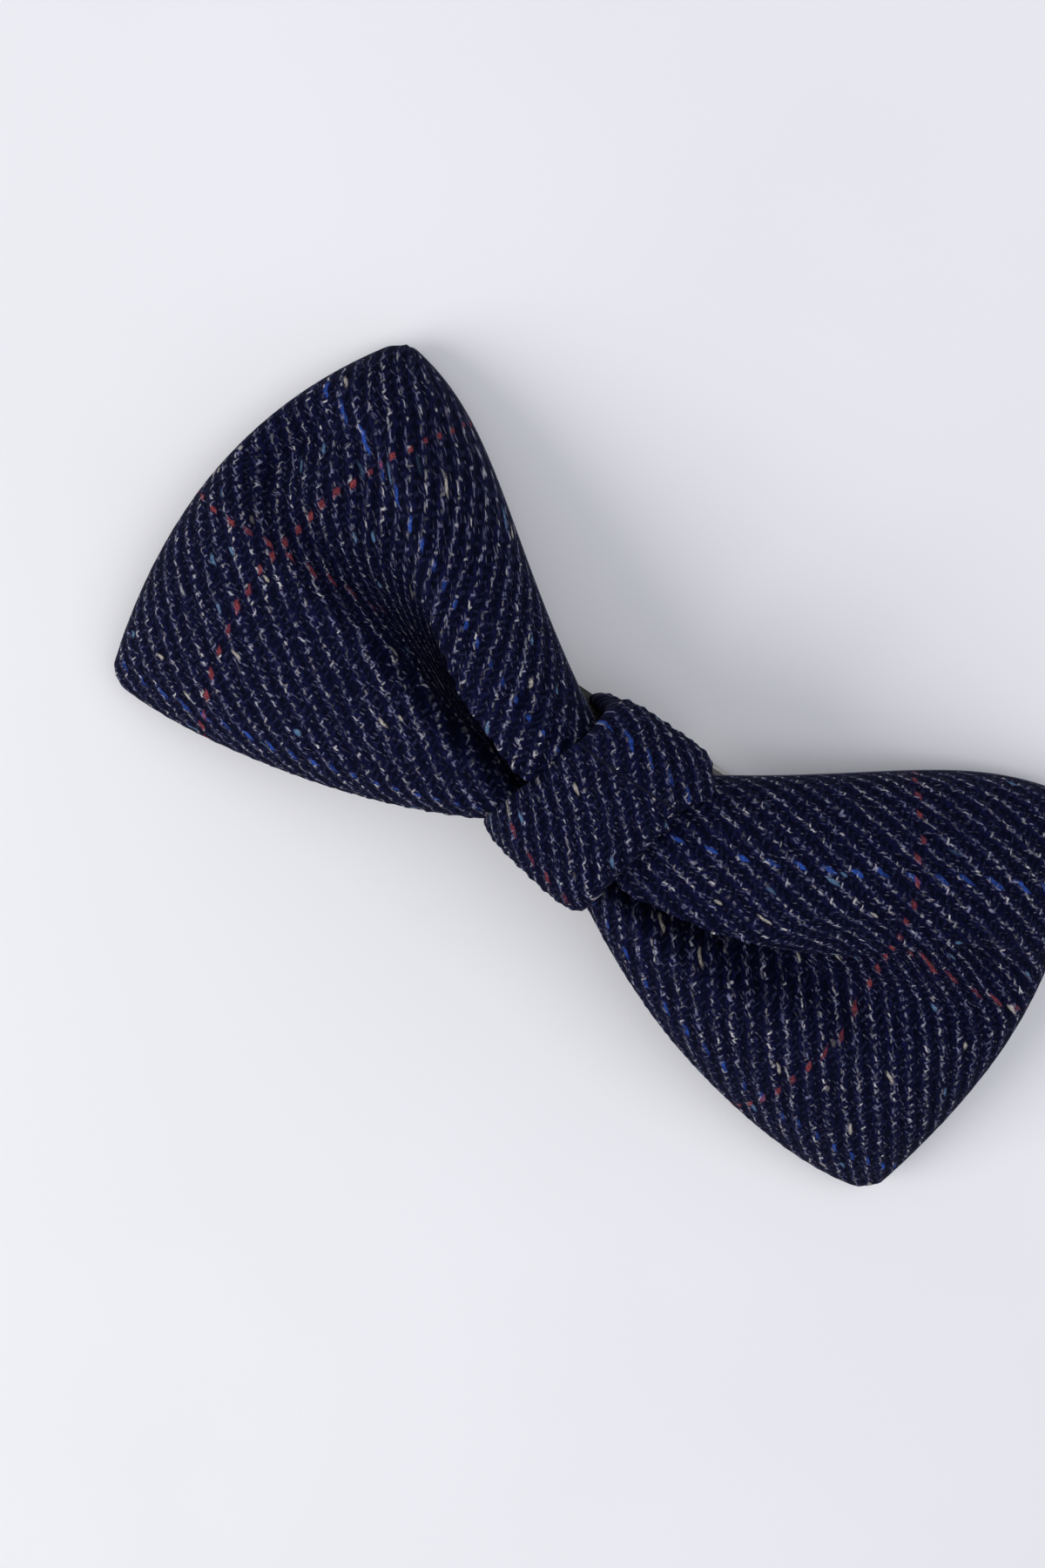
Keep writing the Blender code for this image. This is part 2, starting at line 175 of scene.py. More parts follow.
def weave_height(u, v, twill_deg):
    """Height of the twill's ribs and yarn floats, for cloth coordinates in millimetres."""
    twill = math.radians(twill_deg)
    along = u * math.cos(twill) - v * math.sin(twill)
    across = u * math.sin(twill) + v * math.cos(twill)
    row = across / RIB_PITCH
    rib = np.abs(np.cos(math.pi * row)) ** 0.8
    step = along / FLOAT_PITCH + 0.35 * row
    floats = np.cos(2.0 * math.pi * step) * rib
    fine = np.sin(5.3 * along + 2.1 * row) * np.sin(7.1 * across - 1.3 * along)
    return RIB_HEIGHT * (rib - 0.6) + FLOAT_HEIGHT * floats + FIBRE_HEIGHT * fine


# ---- wings


RIM_AT_WAIST = 15.4  # depth of the seam's line
RIM_AT_TIPS = 2.8
RIM_SWELL = 2.4  # how much further forward the outer edge lies at its middle
CORNER = 0.5  # how far the tips are rounded off
SEAM_TO_BACK = 1.5
BACK_DEPTH = 12.0
LEAST_PADDING = 1.3  # between the bottom of the fold and the back
PADDING_EASE = 0.6
SLIDE_PEAK = 0.4289  # the greatest value of x * exp(-x * x)


class Wing:
    """One wing's outline and section. s runs from the waist to the outer edge, t from bottom to top.

    The outline has straight sides from waist_x to the tips, given as (x, z). The bulges are how
    far its top, its bottom and its outer edge bow outwards. low_skew moves the bottom's bulge and
    outer_tilt the outer one's. crown is how far the lobes puff forward at the waist, and
    crown_gain is what they gain towards the outer edge.

    Each row of fold_at describes the fold at one place of fold_s: the t where the face starts
    to fall, the t where it reaches the bottom, the t where it leaves the bottom, the t where it
    is back up, the fall in millimetres, and how far the upper lobe's cloth hangs over the fold.

    turn_low and turn_up are the angles in degrees by which the cloth of each lobe has turned
    about turn_centre. The change from one to the other lies at t = turn_at and is turn_width
    wide. Past s = turn_from the angles fall off to turn_kept of their size.
    """

    def __init__(self, side, **values):
        self.side = side
        self.__dict__.update(values)

    def outline(self, s, t):
        """x and z of the wing's flat outline, before its side is taken into account."""
        top_x = self.waist_x + (self.tip_top[0] - self.waist_x) * s
        top_z = self.waist_top + (self.tip_top[1] - self.waist_top) * s
        top_z = top_z + self.top_bulge * np.sin(math.pi * np.clip(s, 0, 1) ** 2)
        low_x = self.waist_x + (self.tip_low[0] - self.waist_x) * s
        low_z = self.waist_low + (self.tip_low[1] - self.waist_low) * s
        arch = np.maximum(0.0, 1.0 - np.abs(2.0 * s**self.low_skew - 1.0) ** 2.2) ** 0.85
        low_z = low_z - self.low_bulge * arch
        mix = (t + 1.0) / 2.0
        x = low_x + (top_x - low_x) * mix
        x = x + self.outer_bulge * s**3 * (1.0 - t * t) * (1.0 + self.outer_tilt * t)
        corner = CORNER * smoothstep((np.abs(t) - 0.93) / 0.07) * smoothstep((s - 0.95) / 0.05)
        return x - corner, low_z + (top_z - low_z) * mix - 0.6 * np.sign(t) * corner

    def rim(self, s, t):
        """Depth of the turned seam, carried on across the wing."""
        along = RIM_AT_WAIST - (RIM_AT_WAIST - RIM_AT_TIPS) * smoothstep(s)
        outer = RIM_AT_TIPS + RIM_SWELL * (1.0 - t * t)
        return along * (1.0 - s**4) + outer * s**4

    def fold(self, s, t):
        """How far the fold drops below the puffed face, and how far its cloth slides up or down."""
        start, bottom, rise, top, drop, slide = (
            np.interp(s, self.fold_s, values) for values in np.transpose(self.fold_at)
        )
        down = smoothstep((t - start) / (bottom - start))
        up = smoothstep((t - rise) / (top - rise))
        tau = (t - (rise + top) / 2.0) / (0.75 * (top - rise))
        return drop * down * (1.0 - up), -slide * tau * np.exp(-(tau**2)) / SLIDE_PEAK

    def front(self, s, t):
        """Depth of the cloth's face before its weave, and how far the fold slides it up or down."""
        edge = np.maximum(0.0, 1.0 - s**8) ** 0.5
        crown = (self.crown + self.crown_gain * s**0.85) * (1.0 - 0.3 * s**2.5)
        across = np.maximum(0.0, 1.0 - np.abs(t) ** 2.9) ** 0.52
        drop, slide = self.fold(s, t)
        ripple = self.ripple * np.exp(-s / 0.3) * smoothstep(s / 0.06) * (
            np.cos(5.3 * math.pi * t + self.phase) + 0.6 * np.cos(8.7 * math.pi * t + 2.0 * self.phase)
        )
        broad = 0.5 * np.sin(4.1 * s + 2.3 * t + self.phase) * np.sin(2.9 * t - 3.3 * s) * edge
        depth = self.rim(s, t) + crown * across * edge - drop * np.minimum(1.0, across * 1.3)
        depth = depth + (ripple + broad) * across
        floor = self.back(s, t) + LEAST_PADDING
        over = depth - floor
        inside = (1.0 - smoothstep((np.abs(t) - 0.6) / 0.3)) * (1.0 - smoothstep((s - 0.85) / 0.13))
        eased = floor + (over + np.sqrt(over**2 + PADDING_EASE)) / 2.0
        return depth + inside * (eased - depth), slide * across

    def back(self, s, t):
        """Depth of the back's cloth before its weave."""
        edge = np.maximum(0.0, 1.0 - s**8) ** 0.5
        across = np.maximum(0.0, 1.0 - np.abs(t) ** 6) ** 0.5
        lip = self.rim(s, t) - SEAM_TO_BACK * across * edge
        middle = BACK_DEPTH + 0.7 * (1.0 - smoothstep(s / 0.1))
        at_edge = self.rim(np.ones_like(s), t) - SEAM_TO_BACK
        middle = middle + (at_edge - middle) * smoothstep((s - 0.8) / 0.2)
        share = (1.0 - np.abs(t) ** 3.2) * across
        ripple = 0.25 * np.exp(-s / 0.35) * np.cos(6.0 * math.pi * t + self.phase)
        return lip + (middle - lip) * share + ripple * share * edge


LEFT = Wing(
    -1.0,
    waist_x=3.5, waist_top=5.0, waist_low=-7.6,
    tip_top=(48.5, 28.9), tip_low=(56.6, -24.9),
    top_bulge=2.9, low_bulge=4.4, low_skew=1.12,
    outer_bulge=6.3, outer_tilt=0.22,
    crown=6.2, crown_gain=11.5,
    fold_s=(0.0, 0.1, 0.2, 0.31, 0.44, 0.64, 0.8, 0.92, 1.0),
    fold_at=(
        (-0.7, -0.44, -0.38, -0.2, 3.5, 0.3),
        (-0.56, -0.3, -0.24, -0.06, 6.4, 1.0),
        (-0.3, -0.08, -0.02, 0.12, 7.8, 1.3),
        (-0.2, -0.02, 0.04, 0.2, 8.8, 1.0),
        (-0.12, 0.1, 0.16, 0.36, 9.2, 0.4),
        (-0.06, 0.24, 0.31, 0.6, 9.0, 0.0),
        (-0.02, 0.32, 0.4, 0.72, 8.6, 0.0),
        (0.0, 0.3, 0.4, 0.74, 6.0, 0.0),
        (0.0, 0.3, 0.4, 0.74, 0.0, 0.0),
    ),
    ripple=0.42, phase=0.7,
    turn_low=-5.0, turn_up=35.0, turn_centre=(56.0, 6.5),
    turn_at=0.16, turn_width=0.42, turn_from=0.35, turn_kept=0.07,
)
RIGHT = Wing(
    1.0,
    waist_x=3.5, waist_top=4.2, waist_low=-11.0,
    tip_top=(48.2, 28.7), tip_low=(56.9, -25.0),
    top_bulge=2.4, low_bulge=5.4, low_skew=1.2,
    outer_bulge=5.7, outer_tilt=0.38,
    crown=5.8, crown_gain=11.5,
    fold_s=(0.0, 0.1, 0.21, 0.33, 0.5, 0.62, 0.74, 0.86, 1.0),
    fold_at=(
        (-0.7, -0.5, -0.46, -0.3, 3.5, 0.5),
        (-0.6, -0.4, -0.36, -0.24, 6.0, 1.5),
        (-0.55, -0.22, -0.17, -0.06, 7.4, 2.2),
        (-0.5, -0.1, -0.05, 0.04, 9.4, 3.0),
        (-0.46, 0.0, 0.05, 0.15, 9.6, 3.2),
        (-0.42, 0.05, 0.1, 0.21, 9.0, 2.8),
        (-0.35, 0.12, 0.17, 0.31, 8.0, 1.8),
        (-0.2, 0.2, 0.25, 0.42, 4.4, 0.6),
        (-0.2, 0.2, 0.25, 0.42, 0.0, 0.0),
    ),
    ripple=0.36, phase=2.1,
    turn_low=-13.0, turn_up=24.5, turn_centre=(57.0, 2.0),
    turn_at=0.14, turn_width=0.44, turn_from=0.58, turn_kept=0.86,
)


def wing_samples():
    """The s and t of a wing's grid lines, closer together towards the edges."""
    columns, rows = ((168, 190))
    sigma = np.linspace(0.0, 1.0, columns)
    s = 0.55 * sigma + 0.45 * (1.0 - (1.0 - sigma) ** 1.9)
    tau = np.linspace(-1.0, 1.0, rows)
    t = 0.6 * tau + 0.4 * np.sin(math.pi * tau / 2.0)
    return s, t


def cloth_coordinates(wing, s, t, x, z, depth):
    """Where each point of a wing's face lies on the flat cloth, in millimetres.

    The lobes above and below the fold have each turned about a point near the outer edge, and
    the fold takes up the cloth between them.
    """
    fold = np.interp(s, wing.fold_s, np.array(wing.fold_at)[:, 1])
    middle = fold + (wing.turn_at - fold) * smoothstep((s - 0.3) / 0.4)
    width = np.interp(s, (0.0, 0.3, 0.6, 1.0), (0.1, 0.14, wing.turn_width, wing.turn_width))
    share = smoothstep((t - middle) / width + 0.5)
    kept = 1.0 - (1.0 - wing.turn_kept) * smoothstep((s - wing.turn_from) / (1.0 - wing.turn_from))
    turn = np.radians(wing.turn_low + (wing.turn_up - wing.turn_low) * share) * kept
    dx, dz = x - wing.turn_centre[0], z - wing.turn_centre[1]
    u = wing.turn_centre[0] + np.cos(turn) * dx + np.sin(turn) * dz
    v = wing.turn_centre[1] - np.sin(turn) * dx + np.cos(turn) * dz
    return wing.side * u, v + slope_length(z, depth, t)


def slope_length(z, depth, t):
    """Extra cloth that the steep sides of a lobe take up, counted outwards from half way up."""
    dz, dd = np.diff(z, axis=1), np.diff(depth, axis=1)
    extra = np.hypot(dz, dd) - np.abs(dz)
    middle = t.shape[1] // 2
    outer = np.abs(t[:, 1:] + t[:, :-1]) / 2.0 > 0.55
    total = np.concatenate([np.zeros((len(t), 1)), np.cumsum(extra * outer, axis=1)], axis=1)
    return total - total[:, middle : middle + 1]


def edge_length(s, x, depth):
    """Extra cloth that the slope down to the outer edge takes up."""
    dx, dd = np.diff(x, axis=0), np.diff(depth, axis=0)
    extra = (np.hypot(dx, dd) - np.abs(dx)) * smoothstep((s[1:] - 0.72) / 0.12)
    return np.concatenate([np.zeros((1, x.shape[1])), np.cumsum(extra, axis=0)])


def relief_share(points, u, v):
    """How much of the weave's relief to keep: none where the cloth is gathered tightly."""
    keep = np.ones(u.shape)
    for axis in (0, 1):
        surface = np.linalg.norm(np.gradient(points, axis=axis), axis=-1)
        cloth = np.hypot(np.gradient(u, axis=axis), np.gradient(v, axis=axis))
        keep = np.minimum(keep, np.clip((2.3 - cloth / np.maximum(surface, 1e-6)) / 1.1, 0.0, 1.0))
    return keep


RELIEF_RISE = 26.0  # the weave's relief is whole at 1 / 26 of the width from the seam


def build_wing(wing, name):
    """One closed padded wing: the face, the back and the turned edge between them."""
    s_line, t_line = wing_samples()
    s, t = np.meshgrid(s_line, t_line, indexing="ij")
    x, z = wing.outline(s, t)
    front, slide = wing.front(s, t)
    back = wing.back(s, t)
    face = np.stack([wing.side * x, front, z + slide], -1)
    rear = np.stack([wing.side * x, back, z], -1)
    shared = np.zeros(s.shape, bool)
    shared[:, 0] = shared[:, -1] = True
    shared[-1, :] = True
    rim = np.stack([wing.side * x, wing.rim(s, t), z], -1)
    rear[shared] = face[shared] = rim[shared]
    u, v = cloth_coordinates(wing, s, t, x + edge_length(s, x, front), z + slide, face[..., 1])
    rear_u = wing.side * (x + edge_length(s, x, back))
    rear_v = z + slope_length(z, rear[..., 1], t)
    near_edge = np.minimum(np.minimum(1.0 - np.abs(t), 1.0 - s) * RELIEF_RISE, 1.0)
    for points, cu, cv, towards in ((face, u, v, 1.0), (rear, rear_u, rear_v, -1.0)):
        normal = normals_of(points)
        normal *= towards * np.sign(normal[..., 1].sum())
        relief = weave_height(cu, cv, TWILL) * near_edge * relief_share(points, cu, cv)
        points += normal * relief[..., None]
    weave = np.concatenate([flat_uv(u, v), flat_uv(rear_u, rear_v)])
    span = np.tile(flat_uv(s, t), (2, 1))
    return join_faces(name, face, rear, shared, {"weave": weave, "span": span})


def join_faces(name, face, rear, shared, uv_sets):
    """One closed mesh from the grids of the face and the back, which share the points of the seam."""
    rows, columns = shared.shape
    count = rows * columns
    face_index = np.arange(count).reshape(rows, columns)
    rear_index = np.where(shared, face_index, face_index + count)
    front_quads = grid_quads(rows, columns)
    back_quads = rear_index.ravel()[front_quads][:, ::-1]
    cap = face_index[0, :-1], face_index[0, 1:], rear_index[0, 1:], rear_index[0, :-1]
    waist_cap = np.stack(cap, -1)
    points = np.concatenate([face.reshape(-1, 3), rear.reshape(-1, 3)])
    quads = np.concatenate([front_quads, back_quads, waist_cap])
    uv_quads = np.concatenate([front_quads, front_quads[:, ::-1] + count, waist_cap])
    ordered = np.sort(quads, axis=1)
    whole = (ordered[:, 1:] != ordered[:, :-1]).all(axis=1)
    quads, uv_quads = quads[whole], uv_quads[whole]
    used = np.zeros(len(points), bool)
    used[quads.ravel()] = True
    renumber = np.cumsum(used) - 1
    return mesh_object(name, points[used], renumber[quads], uv_sets, uv_quads=uv_quads)


# ---- knot


KNOT_REAR = KNOT_BACK + 0.05  # depth of the band's outside at the back
KNOT_FRONT = 25.2
KNOT_MIDDLE = 17.0
KNOT_HALF = 6.7  # half the band's width at z = 0
KNOT_WALL = 3.0  # the band's thickness, padding included
ROUND_EDGE = 0.55  # how far the band's turned edges bulge
EDGE_STEPS = 4  # lines of points round a turned edge


def knot_section(inset, count):
    """The knot's section, evenly spaced along its length, as (depth, z) points and arc lengths.

    Its top slopes up towards the front and its bottom sags, so the front sits low. inset moves
    the section inwards, by less at the back, where there is little room for padding.
    """
    back, front = KNOT_REAR + min(inset, 1.2), KNOT_FRONT - inset
    snug = min(inset, 2.2)
    corners = (  # depth, z, radius and the angle at which the round starts
        (front, 10.1 - inset, 6.2, 0.0),
        (back, 8.7 - snug, 2.4, 90.0),
        (back, -9.8 + snug, 2.8, 180.0),
        (front, -12.3 + inset, 5.8, 270.0),
    )
    path = []
    for depth, z, radius, start in corners:
        radius = max(radius - inset * 0.8, 0.5)
        centre_depth = depth - math.copysign(radius, depth - KNOT_MIDDLE)
        centre_z = z - math.copysign(radius, z)
        path += quarter_turn(centre_depth, centre_z, radius, start, 16)
    path = np.array(path + path[:1])
    lengths = arc_lengths(path)
    even = np.linspace(0.0, lengths[-1], count, endpoint=False)
    depth, z = (np.interp(even, lengths, values) for values in path.T)
    return depth, z, even


def knot_x(share, z, depth):
    """Where a share of the band's width lies: it leans, and widens towards the bottom."""
    half = KNOT_HALF - 0.045 * z
    lean = (0.95 + 0.22 * np.minimum(z, 3.0 + 0.35 * z)) * smoothstep((depth - 9.0) / 9.0)
    return share * half + lean


def knot_face(shares, depth, z, angle):
    """Points of the band's outside before its weave: crowned in front, with an uneven edge."""
    out_depth, out_z = np.gradient(z)[:, None], -np.gradient(depth)[:, None]
    length = np.hypot(out_depth, out_z)
    depth, z, angle = depth[:, None], z[:, None], angle[:, None]
    crown = np.maximum(0.0, 1.0 - np.abs(shares) ** 2.6)
    facing = smoothstep((depth - 15.0) / 8.0)
    lift = 0.9 * facing * crown - 0.5 * (1.0 - crown) ** 3
    lift = lift + 0.22 * np.sin(3.0 * angle + 0.6) * np.cos(2.2 * shares) * facing
    edge = np.sign(shares) * np.abs(shares) ** 4
    wander = 0.22 * np.sin(7.0 * angle + 1.1 + 1.3 * np.sign(shares))
    nose = 1.6 * np.exp(-(((z - 7.6) / 2.4) ** 2)) * facing * (shares > 0)
    x = knot_x(shares, z, depth) + edge * (nose + wander * facing + 0.12 * np.sin(11.0 * angle))
    sag = 0.22 * x * smoothstep(-z / 8.0) * facing
    return np.stack([x, depth + out_depth / length * lift, z + out_z / length * lift - sag], -1)


def round_edge(start, end, side):
    """A half-round turn of the cloth from one line of points to another."""
    share = np.linspace(0.0, 1.0, EDGE_STEPS + 2)[1:-1, None]
    points = start[:, None] + (end - start)[:, None] * share
    points[..., :1] += side * ROUND_EDGE * np.sin(math.pi * share)
    return points


def build_knot():
    """The closed band round the waist: its outside, its inside and its two turned edges."""
    around, across = ((250, 62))
    shares = np.linspace(-1.0, 1.0, across)
    shares = 0.8 * shares + 0.2 * np.sin(math.pi * shares / 2.0)
    depth, z, arc = knot_section(0.0, around)
    angle = np.arctan2(z, depth - KNOT_MIDDLE + 1.0)
    outer = knot_face(shares, depth, z, angle)
    u, v = KNOT_CLOTH * outer[..., 0], KNOT_CLOTH * arc[:, None]
    normal = normals_of(outer)
    outwards = np.stack([np.zeros_like(angle), np.cos(angle), np.sin(angle)], -1)[:, None]
    normal *= np.sign((normal * outwards).sum(-1, keepdims=True))
    rim_fade = np.minimum(1.0, (1.0 - np.abs(shares)) * 9.0)
    outer = outer + normal * (weave_height(u, v, KNOT_TWILL) * rim_fade)[..., None]
    inner_depth, inner_z = (values[:, None] for values in knot_section(KNOT_WALL, around)[:2])
    inner = np.broadcast_arrays(knot_x(shares * 0.985, inner_z, inner_depth), inner_depth, inner_z)
    inner = np.stack(inner, -1)
    right_edge = round_edge(outer[:, -1], inner[:, -1], 1.0)
    left_edge = round_edge(inner[:, 0], outer[:, 0], -1.0)
    ring = np.concatenate([outer, right_edge, inner[:, ::-1], left_edge], axis=1)
    right_u, left_u = (np.repeat(at_edge, EDGE_STEPS, 1) for at_edge in (u[:, -1:] + 0.3, u[:, :1]))
    ring_u = np.concatenate([u, right_u, u[:, ::-1], left_u], 1)
    span = np.concatenate([shares, np.ones(EDGE_STEPS), shares[::-1], -np.ones(EDGE_STEPS)])
    quads = grid_quads(*ring.shape[:2], wrap_rows=True, wrap_columns=True)
    uv = {"weave": flat_uv(ring_u, v), "span": flat_uv(span, z[:, None])}
    return mesh_object("knot_band", ring.reshape(-1, 3), quads, uv)


# ---- strap


STRAP = 0.5  # thickness
HALF_STRAP = 6.35
LAYERS = (10.65, 6.65, 5.85, 5.05, 3.35)  # depths of the folded strap's layers, from the bow out
FOLDS_X = (-44.0, 29.5, -39.0, 28.0)
RETURN_DEPTH = 1.65
HOOK = (-24.9, 2.5)  # x and depth of the bar that the strap turns round
HOOK_TURN = 0.85  # radius of that turn
RING = (33.0, 9.65)
RING_TURN = 1.0
TAB_END = 24.0
SLIDER_X = 12.0
RETURN_END = SLIDER_X - 1.5


def half_turn(x, depth, radius, side, steps=14):
    """Half circle that bulges towards side, from the greater depth to the lesser."""
    angle = np.linspace(0.0, math.pi, steps + 1)
    return np.stack([x + side * radius * np.sin(angle), depth + radius * np.cos(angle)], -1)


def line_between(start, end, step=0.8):
    """Points along a level line, about one step apart."""
    count = max(2, int(abs(end[0] - start[0]) / step) + 1)
    return np.linspace(start, end, count)


def strap_piece(name, centre_line, half_width=HALF_STRAP):
    """A woven strap along a line of (x, depth), with selvedges slightly thicker than its middle."""
    line = np.asarray(centre_line, float)
    keep = np.concatenate([[True], np.linalg.norm(np.diff(line, axis=0), axis=1) > 1e-6])
    line = line[keep]
    tangent = unit(np.gradient(line, axis=0))
    normal = np.stack([-tangent[:, 1], tangent[:, 0]], -1)
    length = arc_lengths(line)
    across = np.linspace(-1.0, 1.0, 25)
    thick = STRAP / 2.0 * (0.82 + 0.16 * np.exp(-(((np.abs(across) - 0.93) / 0.05) ** 2)))
    thick = thick * np.sqrt(np.maximum(0.0, 1.0 - np.abs(across) ** 24)) + 0.02
    z = np.repeat(across[None] * half_width, len(line), 0)
    top = line[:, None] + normal[:, None] * thick[None, :, None]
    low = line[:, None] - normal[:, None] * thick[None, :, None]
    upper = np.concatenate([top, z[..., None]], -1)
    lower = np.concatenate([low, z[..., None]], -1)[:, ::-1]
    ring = np.concatenate([upper, lower], 1)
    rows, columns = ring.shape[:2]
    quads = grid_quads(rows, columns, wrap_columns=True)
    half = columns // 2
    caps = []
    for row in (0, rows - 1):
        for j in range(half - 1):
            a, b = row * columns + j, row * columns + j + 1
            c, d = row * columns + columns - 2 - j, row * columns + columns - 1 - j
            caps.append((a, b, c, d) if row else (d, c, b, a))
    uv = {"weave": flat_uv(length[:, None], ring[..., 2])}
    smooth = np.arange(len(quads) + len(caps)) < len(quads)
    return mesh_object(name, ring.reshape(-1, 3), np.concatenate([quads, caps]), uv, smooth)


def build_ring_tab():
    """The end of the strap, which turns round the ring and back under itself to its stitches."""
    turn = half_turn(*RING, RING_TURN, 1.0)
    out = line_between((TAB_END, LAYERS[0]), (RING[0], LAYERS[0]))
    back = line_between((RING[0], RING[1] - RING_TURN), (TAB_END, RING[1] - RING_TURN))
    return strap_piece("ring_tab", np.concatenate([out, turn, back]))


def build_strap():
    """The strap in five lengths, each of which spans one joint.

    Gives each piece with the two bodies it joins and the two places between which it bends.
    """
    sections = ("bow", "strap_section_2", "strap_section_3", "strap_section_4", "strap_section_5")
    middles = [0.5 * (FOLDS_X[i] + FOLDS_X[i + 1]) for i in range(3)]
    middles.append(4.0)
    pieces = []
    for i, x in enumerate(FOLDS_X):
        side = math.copysign(1.0, x)
        d0, d1 = LAYERS[i], LAYERS[i + 1]
        turn = half_turn(x, (d0 + d1) / 2.0, (d0 - d1) / 2.0, side)
        before = line_between((TAB_END if i == 0 else middles[i - 1], d0), (x, d0))
        after = line_between((x, d1), (middles[i], d1))
        piece = strap_piece(f"strap_length_{i + 1}", np.concatenate([before, turn, after]))
        start, end = place(x, d0 - STRAP / 2.0, 0.0), place(x, d1 + STRAP / 2.0, 0.0)
        pieces.append((piece, sections[i], sections[i + 1], start, end))
    last = strap_piece("strap_length_5", line_between((middles[3], LAYERS[4]), (HOOK[0], LAYERS[4]), 0.5))
    pieces.append((last, sections[4], "hook_end", place(2.0, 0, 0), place(-22.0, 0, 0)))
    return pieces


def closed_band(name, path, half_width, thickness):
    """A strap loop with bevelled edges that closes on itself, as round the slider's bar."""
    tangent = unit(np.roll(path, -1, 0) - np.roll(path, 1, 0))
    normal = np.stack([tangent[:, 1], -tangent[:, 0]], -1)
    bevel, drop = 0.25, 0.12
    zs = (-half_width, -half_width + bevel, half_width - bevel, half_width)
    sides = [(z, -drop if abs(z) == half_width else 0.0) for z in zs] + [(z, -thickness) for z in zs[::-1]]
    ring = np.stack([np.insert(path + normal * out, 2, z, axis=1) for z, out in sides], 1)
    rows, columns = ring.shape[:2]
    quads = grid_quads(rows, columns, wrap_rows=True, wrap_columns=True)
    length = np.arange(rows) * 0.4
    uv = {"weave": flat_uv(length[:, None], ring[..., 2])}
    return mesh_object(name, ring.reshape(-1, 3), quads, uv)


def rounded_rectangle(x0, x1, d0, d1, corner, steps=5):
    """The (x, depth) points of a rectangle with round corners."""
    x0, x1, d0, d1 = x0 + corner, x1 - corner, d0 + corner, d1 - corner
    centres = ((x1, d1), (x0, d1), (x0, d0), (x1, d0))
    turns = [quarter_turn(*at, corner, 90.0 * k, steps) for k, at in enumerate(centres)]
    return np.concatenate(turns)


# ---- threads


def tube_points(path, radii, sides):
    """Rings of points round each point of path [n, 3]. radii has one radius for each ring."""
    tangent = unit(np.gradient(path, axis=0))
    side = unit(np.cross(tangent, (0.31, 0.87, 0.39)))
    other = np.cross(tangent, side)
    angle = np.linspace(0.0, 2.0 * math.pi, sides, endpoint=False)
    spokes = np.cos(angle)[None, :, None] * side[:, None] + np.sin(angle)[None, :, None] * other[:, None]
    return path[:, None] + radii[:, None, None] * spokes


def thread_object(name, paths, radius, sides=8):
    """One object of several threads, each a closed tube with rounded ends."""
    points, quads, uvs = [], [], []
    start = 0
    for path in paths:
        ends = np.concatenate([[0.25, 0.75], np.ones(len(path) - 4), [0.75, 0.25]])
        ring = tube_points(path, radius * ends, sides)
        rows = len(path)
        points.append(ring.reshape(-1, 3))
        quads.append(grid_quads(rows, sides, start, wrap_columns=True))
        for row in (0, rows - 1):
            base = start + row * sides
            fan = [(base, base + k, base + k + 1, base + k + 2) for k in range(1, sides - 2, 2)]
            fan = [(a, d, c, b) if row == 0 else (a, b, c, d) for a, b, c, d in fan]
            quads.append(np.array(fan))
        length = arc_lengths(path)
        around = np.linspace(0.0, 1.0, sides, endpoint=False)
        uvs.append(flat_uv(length[:, None], around))
        start += rows * sides
    return mesh_object(name, np.concatenate(points), np.concatenate(quads), {"weave": np.concatenate(uvs)})


def edge_seam(t):
    """The line of a turned seam along one edge of the bow."""
    lines = []
    s = np.linspace(0.02, 0.985, 150)
    t = np.full_like(s, t)
    for wing in (LEFT, RIGHT):
        x, z = wing.outline(s, t)
        lines.append(np.stack([wing.side * x, wing.rim(s, t), z], -1))
    return lines


STITCH = np.linspace(-0.5, 0.5, 9)  # where the points of a stitch lie along its length
STITCH_RISE = 0.12


def stitch_row(start, end, depth, other, count, length, axis=0):
    """Short stitches in a line along axis. Each rises from the cloth and goes back into it.

    other is where the line lies on the axis that is neither axis nor depth.
    """
    stitches = []
    for k in range(count):
        point = np.full((len(STITCH), 3), other)
        point[:, axis] = start + (end - start) * (k + 0.5) / count + STITCH * length
        point[:, 1] = depth - STITCH_RISE * np.cos(math.pi * STITCH)
        stitches.append(point)
    return stitches


# ---- materials


class Value:
    """An output of a node. Its arithmetic makes more nodes."""

    def __init__(self, nodes, socket):
        self.nodes = nodes
        self.socket = socket

    def __add__(self, other):
        return self.nodes.math("ADD", self, other)

    def __sub__(self, other):
        return self.nodes.math("SUBTRACT", self, other)

    def __rsub__(self, other):
        return self.nodes.math("SUBTRACT", other, self)

    def __mul__(self, other):
        return self.nodes.math("MULTIPLY", self, other)

    def __truediv__(self, other):
        return self.nodes.math("DIVIDE", self, other)


